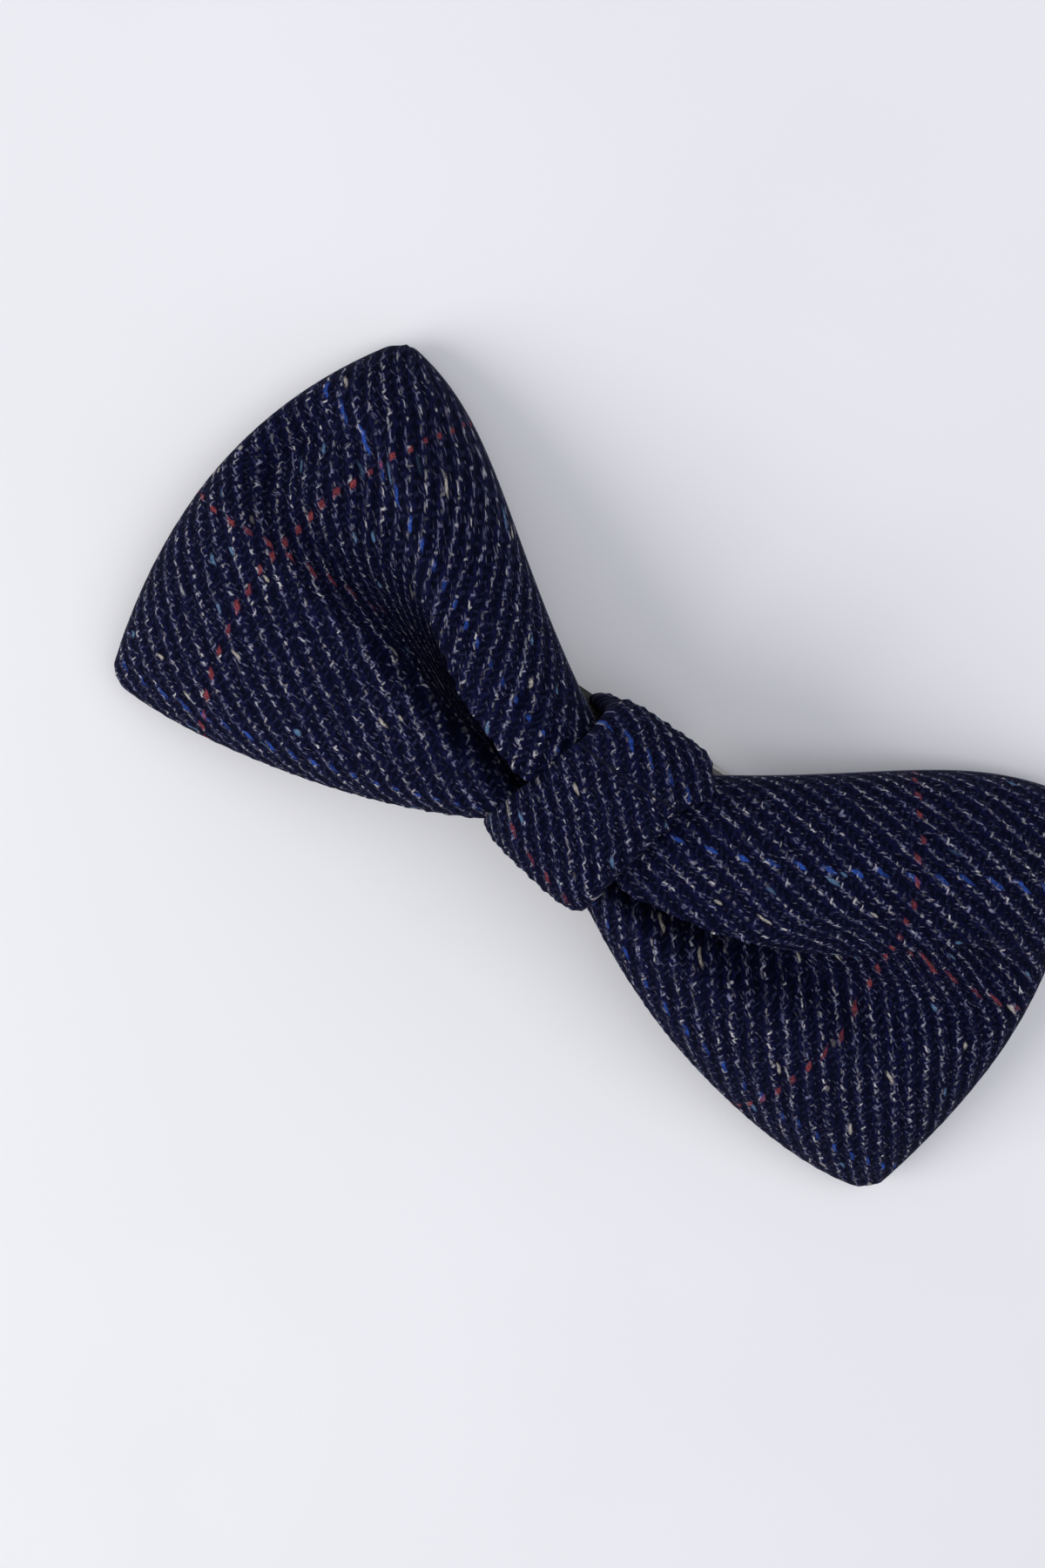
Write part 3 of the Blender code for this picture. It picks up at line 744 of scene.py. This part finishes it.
class Nodes:
    """A short way to write a material's node tree."""

    def __init__(self, name):
        self.material = bpy.data.materials.new(name)
        self.material.use_nodes = True
        self.tree = self.material.node_tree
        self.tree.nodes.clear()
        self.out = self.tree.nodes.new("ShaderNodeOutputMaterial")

    def add(self, kind, inputs=(), output=0, **settings):
        """A new node's output. inputs are pairs of a socket's name or number and what goes in."""
        node = self.tree.nodes.new("ShaderNode" + kind)
        for key, value in settings.items():
            setattr(node, key, value)
        for key, value in inputs:
            self.feed(node.inputs[key], value)
        return Value(self, node.outputs[output])

    def feed(self, socket, value):
        if isinstance(value, Value):
            self.tree.links.new(value.socket, socket)
        elif socket.type == "RGBA":
            socket.default_value = (*value, 1.0)
        else:
            socket.default_value = value

    def math(self, operation, *values):
        return self.add("Math", enumerate(values), operation=operation)

    def mix(self, factor, a, b):
        return self.add("Mix", ((0, factor), (6, a), (7, b)), 2, data_type="RGBA")

    def vector(self, *values):
        return self.add("CombineXYZ", enumerate(values))

    def split(self, vector):
        node = self.add("SeparateXYZ", ((0, vector),)).socket.node
        return tuple(Value(self, socket) for socket in node.outputs)

    def uv(self, name):
        return self.split(self.add("UVMap", uv_map=name))[:2]

    def position(self):
        return self.add("TexCoord", output="Object")

    def noise(self, vector, scale, detail=2.0, roughness=0.5, output="Fac"):
        settings = (("Vector", vector), ("Scale", scale), ("Detail", detail), ("Roughness", roughness))
        return self.add("TexNoise", settings, output)

    def white_noise(self, *place):
        """Three random values for each place, which is given by two or three numbers."""
        kind, size = "TexWhiteNoise", f"{len(place)}D"
        return self.split(self.add(kind, (("Vector", self.vector(*place)),), "Color", noise_dimensions=size))

    def ramp(self, value, low, high):
        """A soft rise from 0 to 1 as value goes from low to high."""
        inputs = (("Value", value), ("From Min", low), ("From Max", high))
        return self.add("MapRange", inputs, interpolation_type="SMOOTHSTEP")

    def bump(self, height, distance, strength=1.0):
        inputs = (("Strength", strength), ("Distance", distance), ("Height", height))
        return self.add("Bump", inputs)

    def principled(self, **inputs):
        """The principled shader. An underscore in an input's name stands for a space."""
        named = [(key.replace("_", " "), value) for key, value in inputs.items()]
        return self.add("BsdfPrincipled", named)

    def finish(self, shader):
        """The material, once shader is its surface."""
        self.feed(self.out.inputs["Surface"], shader)
        return self.material


CHAINS = ((0.0, 36.0, 1.0), (0.08, -38.0, 0.8), (-0.14, 22.0, 0.5))  # centre, tilt and strength
SCATTER = 0.9  # how far flecks stray from their grid, from 0 to 1
ALONG_MM = 26.0  # millimetres for one unit of t, and of s, on a wing
ACROSS_MM = 50.0


class Wool(Nodes):
    """The node tree of navy wool twill. Each method lays one kind of yarn over the colour so far."""

    def __init__(self, name, twill_deg):
        super().__init__(name)
        u, v = self.uv("weave")
        self.first, self.second = self.uv("span")
        wander_u, wander_v, self.wander = self.split(self.noise(self.vector(u, v), 0.55, output="Color"))
        u = (wander_u - 0.5) * 0.9 + u
        v = (wander_v - 0.5) * 0.9 + v
        self.along, self.across = turned(u, v, twill_deg)
        self.row = self.across / RIB_PITCH
        self.crest = self.math("COSINE", self.row * (2.0 * math.pi)) * 0.5 + 0.5
        self.cloud = self.noise(self.vector(u, v), 0.16, 3.0)
        self.grain = self.noise(self.vector(self.along * 0.6, self.across), 3.6, 3.0, 0.65)
        fray = self.noise(self.vector(self.along, self.across * 1.7), 4.5, 3.0, 0.7)
        self.frayed = self.ramp(fray, 0.32, 0.6)

    def ellipse(self, x, y, size, stretch, spread, edge):
        """1 in the middle of a soft ellipse and 0 outside it. stretch, from 0 to 1, changes its length."""
        x = x / (stretch * (spread * size[0]) + size[0] * (1.0 - spread / 2.0))
        y = y / size[1]
        return 1.0 - self.ramp(self.math("SQRT", x * x + y * y), edge, 1.15)

    def flecks(self, spacing, pitch, shear, tilt_deg, size, spread):
        """Short floats strewn over a skewed grid. Returns their mask and two random values."""
        row = self.across / pitch
        x = self.along / spacing + row * shear + SCATTER / 2.0
        y = row + SCATTER / 2.0
        inputs = (("Vector", self.vector(x, y)), ("Scale", 1.0), ("Randomness", SCATTER))
        cell = self.add("TexVoronoi", inputs, "Position", voronoi_dimensions="2D", feature="F1")
        centre = self.split(cell)
        r, g, b = self.split(Value(self, cell.socket.node.outputs["Color"]))
        dx, dy = x - centre[0], y - centre[1]
        x, y = turned((dx - dy * shear) * spacing, dy * pitch, -tilt_deg)
        return self.ellipse(x, y, size, g, spread, 0.45), r, b

    def strokes(self, spacing, key, centre, tilt_deg, size, jitter, spread):
        """Floats in a chain along every rib. Returns their mask and two random values.

        centre is how far the chain lies from the rib's crest. Two chains with different keys
        overlap like the turns of a cord.
        """
        row = (self.across - centre) / RIB_PITCH
        index = self.math("ROUND", row)
        step = self.along / spacing + self.white_noise(index, key)[0]
        cell = self.math("FLOOR", step)
        r, g, b = self.white_noise(cell, index, key)
        x = (r - 0.5) * jitter[0] + (step - cell - 0.5) * spacing
        y = (g - 0.5) * jitter[1] + (row - index) * RIB_PITCH
        x, y = turned(x, y, -tilt_deg)
        bend = self.math("SINE", x * (2.6 / size[0])) * (0.45 * size[1])
        return self.ellipse(x, y + bend, size, g, spread, 0.35), r, b

    def base(self):
        """The navy ground, with painted shade between the ribs."""
        colour = self.mix(self.ramp(self.grain, 0.34, 0.7), (0.0008, 0.001, 0.0075), (0.0066, 0.0084, 0.053))
        colour = self.mix(self.ramp(self.cloud, 0.35, 0.7) * 0.3, colour, (0.003, 0.0034, 0.016))
        # painted shade: the grooves between the ribs are darkened in the colour
        self.colour = self.mix(self.ramp(self.crest, 0.55, 0.05) * 0.7, colour, (0.0007, 0.0009, 0.004))

    def navy_floats(self):
        mask, r, b = self.strokes(0.95, 7.0, 0.98, -32.0, (0.5, 0.2), (0.3, 0.4), 0.6)
        self.navy = mask * (r * self.frayed)
        tint = self.mix(b, (0.016, 0.02, 0.085), (0.05, 0.055, 0.15))
        self.colour = self.mix(self.navy * 0.75, self.colour, tint)

    def pale_chains(self):
        """Three chains of pale floats that cross each other on every rib."""
        self.chains = []
        for key, (centre, tilt, strength) in enumerate(CHAINS, 1):
            mask, r, b = self.strokes(1.12, key, centre, tilt, (0.37, 0.16), (0.3, 0.3), 0.7)
            level = (self.math("POWER", r, 2.2) * 1.35 + 0.09) * mask * (self.frayed * 0.85 + 0.15)
            tint = self.mix(self.ramp(b, 0.25, 0.95), (0.22, 0.23, 0.4), (0.74, 0.71, 0.74))
            self.colour = self.mix(level * strength, self.colour, tint)
            self.chains.append(mask)

    def specks(self):
        mask, r, b = self.flecks(0.8, RIB_PITCH / 4.0, 0.4, 30.0, (0.3, 0.1), 1.0)
        mask = mask * self.ramp(r, 0.4, 1.0) * (self.crest * 0.5 + 0.3)
        self.colour = self.mix(mask, self.colour, self.mix(b, (0.03, 0.034, 0.11), (0.28, 0.28, 0.4)))

    def slubs(self):
        """A few thick beige and pale blue floats."""
        mask, r, b = self.flecks(5.6, 2.0 * RIB_PITCH, 0.2, 12.0, (0.8, 0.25), 0.8)
        mask = mask * self.ramp(r, 0.62, 0.75) * (self.frayed * 0.7 + 0.15)
        tint = self.mix(self.ramp(b, 0.45, 0.55), (0.13, 0.25, 0.42), (0.62, 0.57, 0.5))
        self.colour = self.mix(mask, self.colour, tint)

    def coloured_line(self, number, kind, tint, a, b, c, half_width, half_length, strength):
        """A coloured yarn that shows as one dash on each rib it crosses."""
        if kind == "across":
            offset = (self.first - (self.second * self.second * c + a)) * ACROSS_MM
        else:
            offset = self.second - (self.first * b + a)
        if kind == "along":
            offset = offset * ALONG_MM
            strength = self.ramp(self.first, c - 0.1, c + 0.04) * strength
        index = self.math("ROUND", self.row)
        r, g, _ = self.white_noise(index, 11.0 + number)
        offset = (self.wander - 0.5) * 0.7 + offset
        offset = self.math("ABSOLUTE", (g - 0.5) * 0.45 + offset)
        band = 1.0 - self.ramp(offset, half_width * 0.4, half_width)
        middle = self.math("ABSOLUTE", (self.row - index) * RIB_PITCH - 0.25)
        dash = 1.0 - self.ramp(middle, half_length * 0.5, half_length)
        shown = band * dash * (r * 0.6 + 0.4) * (self.frayed * 0.8 + 0.2)
        bright = self.mix(self.ramp(self.grain, 0.35, 0.7), tuple(0.45 * part for part in tint), tint)
        self.colour = self.mix(shown * strength, self.colour, bright)

    def surface(self):
        """Matte cloth whose floats and fibres stand up a little."""
        fibre = self.noise(self.vector(self.along * 0.35, self.across), 14.0, 2.0, 0.7)
        height = self.chains[0] + self.chains[1] * 0.8 + self.navy * 0.9 + self.grain * 1.1 + fibre * 0.5
        return self.principled(
            Base_Color=self.colour,
            Roughness=self.grain * 0.18 + 0.74,
            Normal=self.bump(height, 0.00018),
            Sheen_Weight=0.015,
            Sheen_Roughness=0.4,
            Sheen_Tint=(0.2, 0.25, 0.7),
            Specular_IOR_Level=0.05,
        )


def turned(x, y, degrees):
    """(x, y) turned by an angle."""
    cos, sin = math.cos(math.radians(degrees)), math.sin(math.radians(degrees))
    return x * cos - y * sin, x * sin + y * cos


def wool_material(name, twill_deg, lines):
    """Navy twill with chains of pale floats along its ribs, slubs, and coloured lines.

    A line is (kind, colour, a, b, c, half width, half length in its rib, strength). Kind
    "along" follows t = a + b * s and fades out below s = c, "across" follows s = a + c * t * t,
    and "level" follows z = a + b * share on the knot.
    """
    wool = Wool(name, twill_deg)
    wool.base()
    wool.navy_floats()
    wool.pale_chains()
    wool.specks()
    wool.slubs()
    for number, line in enumerate(lines):
        wool.coloured_line(number, *line)
    return wool.finish(wool.surface())


def strap_material():
    """Black ribbed webbing: fine cross ribs and a faint brown cast."""
    n = Nodes("strap_webbing")
    u, v = n.uv("weave")
    ribs = n.math("SINE", u * 11.0) * 0.5 + 0.5
    warp = n.math("SINE", v * 21.0) * 0.5 + 0.5
    cloud = n.noise(n.vector(u, v), 0.35, 3.0)
    grain = n.noise(n.vector(u, v * 4.0), 3.0)
    colour = n.mix(ribs, (0.004, 0.004, 0.0035), (0.016, 0.0155, 0.013))
    shader = n.principled(
        Base_Color=n.mix(n.ramp(cloud, 0.4, 0.7) * 0.5, colour, (0.02, 0.019, 0.014)),
        Roughness=grain * 0.22 + 0.42,
        Normal=n.bump(ribs + warp * 0.45, 0.00009, 0.8),
        Sheen_Weight=0.15,
        Specular_IOR_Level=0.4,
    )
    return n.finish(shader)


def metal_material():
    """Satin nickel plate, brushed, with small scratches and darker patches."""
    n = Nodes("satin_nickel")
    x, y, z = n.split(n.position())
    brushed = n.noise(n.vector(x * 0.12, y, z), 9000.0, 3.0, 0.7)
    patch = n.noise(n.position(), 260.0, 3.0)
    shader = n.principled(
        Base_Color=n.mix(n.ramp(patch, 0.35, 0.7), (0.56, 0.54, 0.5), (0.68, 0.66, 0.63)),
        Metallic=1.0,
        Roughness=brushed * 0.22 + 0.2,
        Normal=n.bump(brushed, 0.00002, 0.5),
    )
    return n.finish(shader)


def thread_material():
    """Navy sewing thread with its twist."""
    n = Nodes("sewing_thread")
    u, v = n.uv("weave")
    twist = n.math("SINE", (u * 2.4 + v) * (2.0 * math.pi))
    fuzz = n.noise(n.vector(u, v), 6.0)
    colour = n.mix(n.ramp(twist, -0.6, 0.8), (0.006, 0.007, 0.02), (0.03, 0.034, 0.09))
    colour = n.mix(fuzz * 0.3, colour, (0.05, 0.055, 0.12))
    bump = n.bump(twist, 0.00006, 0.8)
    return n.finish(n.principled(Base_Color=colour, Roughness=0.6, Normal=bump, Sheen_Weight=0.2))


# ---- stage, lights and camera


def stage_material(name, colour):
    """Matte pale board. A camera behind its plane sees through it, so the back can be looked at."""
    n = Nodes(name)
    spaces = {"vector_type": "POINT", "convert_from": "CAMERA", "convert_to": "WORLD"}
    camera = n.add("VectorTransform", ((0, (0.0, 0.0, 0.0)),), **spaces)
    behind = n.math("GREATER_THAN", n.split(camera)[1], KNOT_BACK * MM)
    cloud = n.noise(n.position(), 14.0, 3.0)
    tone = n.mix(n.ramp(cloud, 0.3, 0.7), colour, tuple(0.97 * part for part in colour))
    board = n.principled(Base_Color=tone, Roughness=0.7, Specular_IOR_Level=0.2)
    clear = n.add("BsdfTransparent")
    return n.finish(n.add("MixShader", ((0, behind), (1, board), (2, clear))))


BOARD_REACH = 4000.0
BOARD_DEPTH = -0.4
CAMERA_PLACE = Vector((-0.01308, -0.25506, 0.03862))
CAMERA_FORWARD = Vector((0.0219, 0.9846, -0.1736))
CAMERA_RIGHT = Vector((0.8283, 0.0794, 0.5547))


def camera_axes():
    """Where the camera looks, and what is right and up in its picture."""
    forward = CAMERA_FORWARD.normalized()
    right = (CAMERA_RIGHT - CAMERA_RIGHT.dot(forward) * forward).normalized()
    return forward, right, right.cross(forward)


def add_camera():
    forward, right, up = camera_axes()
    data = bpy.data.cameras.new("camera")
    data.lens = 50.0
    data.sensor_width = 36.0
    data.clip_start = 0.01
    camera = add_object("camera", data)
    turn = Matrix((right, up, -forward)).transposed()
    camera.matrix_world = Matrix.Translation(CAMERA_PLACE) @ turn.to_4x4()
    bpy.context.scene.camera = camera


def area_light(name, place, target, size, power, colour=(1.0, 1.0, 1.0)):
    data = bpy.data.lights.new(name, "AREA")
    data.shape = "DISK"
    data.size = size
    data.energy = power
    data.color = colour
    turn = (target - place).normalized().to_track_quat("-Z", "Y").to_matrix().to_4x4()
    add_object(name, data).matrix_world = Matrix.Translation(place) @ turn


def build_stage():
    """A pale board behind the strap, soft light from the lower left, a weak fill and a rear light."""
    turns = ((-1, -1), (1, -1), (1, 1), (-1, 1))
    corners = [(BOARD_REACH * x, BOARD_DEPTH, BOARD_REACH * z) for x, z in turns]
    board = mesh_object("floor", corners, [(0, 1, 2, 3)], smooth=False)
    board.data.materials.append(stage_material("floor_board", (0.83, 0.83, 0.86)))
    world = bpy.data.worlds.new("world")
    bpy.context.scene.world = world
    world.use_nodes = True
    sky = world.node_tree.nodes["Background"].inputs
    sky["Color"].default_value = (0.93, 0.94, 1.0, 1.0)
    sky["Strength"].default_value = 0.44
    forward, right, up = camera_axes()
    centre = Vector((0.0, -0.01, 0.0))
    key = centre - right * 0.53 - up * 0.18 - forward * 0.33
    area_light("key", key, centre, 0.46, 2.5, (1.0, 0.99, 0.97))
    fill = centre + right * 0.2 - up * 0.02 - forward * 0.62
    area_light("fill", fill, centre, 0.6, 1.7, (0.95, 0.97, 1.0))
    area_light("rear", Vector((0.25, 0.7, 0.5)), centre, 0.6, 9.0)
    bpy.context.scene.view_settings.view_transform = "Standard"


# ---- assembly


BLUE = (0.045, 0.15, 0.72)
RED = (0.5, 0.09, 0.09)


def dress(obj, material, body, replaced):
    """Gives a piece its look and its body, and hides the CAD nodes that it stands for."""
    obj.data.materials.append(material)
    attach(obj, body)
    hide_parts(*replaced)


def add_wings():
    panels = ("bow_front_panel", "bow_back_panel", "bow_interlining")
    left_wool = wool_material(
        "wool_left_wing",
        TWILL,
        [
            ("along", BLUE, 0.38, 0.28, 0.0, 0.7, 0.3, 0.85),
            ("along", BLUE, -0.72, -0.16, 0.0, 0.6, 0.3, 0.8),
            ("along", RED, 0.32, -0.37, 0.64, 0.4, 0.46, 1.0),
            ("across", RED, 0.8, 0.0, -0.075, 0.44, 0.44, 1.0),
        ],
    )
    gathered = (*panels, "waist_gather_thread")
    dress(build_wing(LEFT, "left_wing"), left_wool, "bow", gathered)
    right_wool = wool_material(
        "wool_right_wing",
        TWILL,
        [
            ("along", BLUE, 0.33, 0.33, 0.0, 0.75, 0.36, 1.0),
            ("along", BLUE, -0.8, 0.0, 0.0, 0.6, 0.3, 0.8),
            ("along", RED, 0.16, -0.04, 0.66, 0.4, 0.44, 0.9),
            ("across", RED, 0.69, 0.0, -0.1, 0.44, 0.44, 1.0),
        ],
    )
    dress(build_wing(RIGHT, "right_wing"), right_wool, "bow", panels)


def add_knot():
    wool = wool_material(
        "wool_knot",
        KNOT_TWILL,
        [
            ("level", BLUE, 6.6, -0.8, 0.0, 0.6, 0.3, 0.85),
            ("level", RED, -10.1, -0.9, 0.0, 0.34, 0.36, 0.55),
        ],
    )
    dress(build_knot(), wool, "bow", ("knot_wrap", "knot_interlining"))


def add_threads():
    """The seams of the wings, and the stitches of the knot, the slider and the ring's tab."""
    thread = thread_material()
    for name, t in (("top_seam", 1.0), ("bottom_seam", -1.0)):
        seam = thread_object(name, edge_seam(t), 0.13)
        dress(seam, thread, "bow", (f"{name}_thread",))

    closing = stitch_row(-4.6, 3.6, 12.6, 0.0, 7, 0.9)
    for path in closing:  # they slant across the join under the knot
        path[:, 1] = 12.4 + 1.6 * STITCH
        path[:, 2] = -10.32 - 0.18 * np.cos(math.pi * STITCH)
    tack = stitch_row(-4.85, 4.85, 1.38, SLIDER_X - 3.2, 9, 0.8, axis=2)
    tab_depth = RING[1] - RING_TURN - STRAP / 2.0 + 0.02
    tab = stitch_row(-5.1, 5.1, tab_depth, 25.6, 9, 0.85, axis=2)
    for name, paths, radius, body, node in (
        ("knot_stitches", closing, 0.16, "bow", "knot_closing_stitches"),
        ("slider_stitches", tack, 0.14, "slider", "slider_bar_tack"),
        ("ring_tab_stitches", tab, 0.14, "bow", "ring_tab_stitch"),
    ):
        dress(thread_object(name, paths, radius), thread, body, (node,))


def add_strap():
    """The folded lengths of the strap, the loops, and the return from the hook towards the slider."""
    webbing = strap_material()
    for number, (piece, a, b, start, end) in enumerate(build_strap(), 1):
        piece.data.materials.append(webbing)
        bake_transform(piece)
        fold = (f"strap_fold_{number}",) if number <= len(FOLDS_X) else ()
        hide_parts(f"strap_layer_{number}", *fold)

    hook_loop = strap_piece("hook_loop", half_turn(*HOOK, HOOK_TURN, -1.0))
    dress(hook_loop, webbing, "hook_end", ("hook_loop_fold",))
    line = line_between((HOOK[0], RETURN_DEPTH), (RETURN_END, RETURN_DEPTH), 0.5)
    returned = strap_piece("strap_return_length", line)
    dress(returned, webbing, "hook_end", ("strap_return",))
    anchor = place(HOOK[0], 0, 0)
    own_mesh(returned)

    dress(build_ring_tab(), webbing, "bow", ("ring_tab_loop",))
    bar = rounded_rectangle(SLIDER_X - 1.4, SLIDER_X + 1.4, 0.05, 1.9, 0.8)
    loop = closed_band("slider_strap_loop", bar, 5.95, 0.44)
    dress(loop, webbing, "slider", ("slider_anchor_loop",))


def polish_hardware():
    metal = metal_material()
    for node in ("slider_frame", "neck_hook", "neck_ring"):
        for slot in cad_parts[node].material_slots:
            slot.material = metal


add_wings()
add_knot()
add_threads()
add_strap()
polish_hardware()
build_stage()
add_camera()
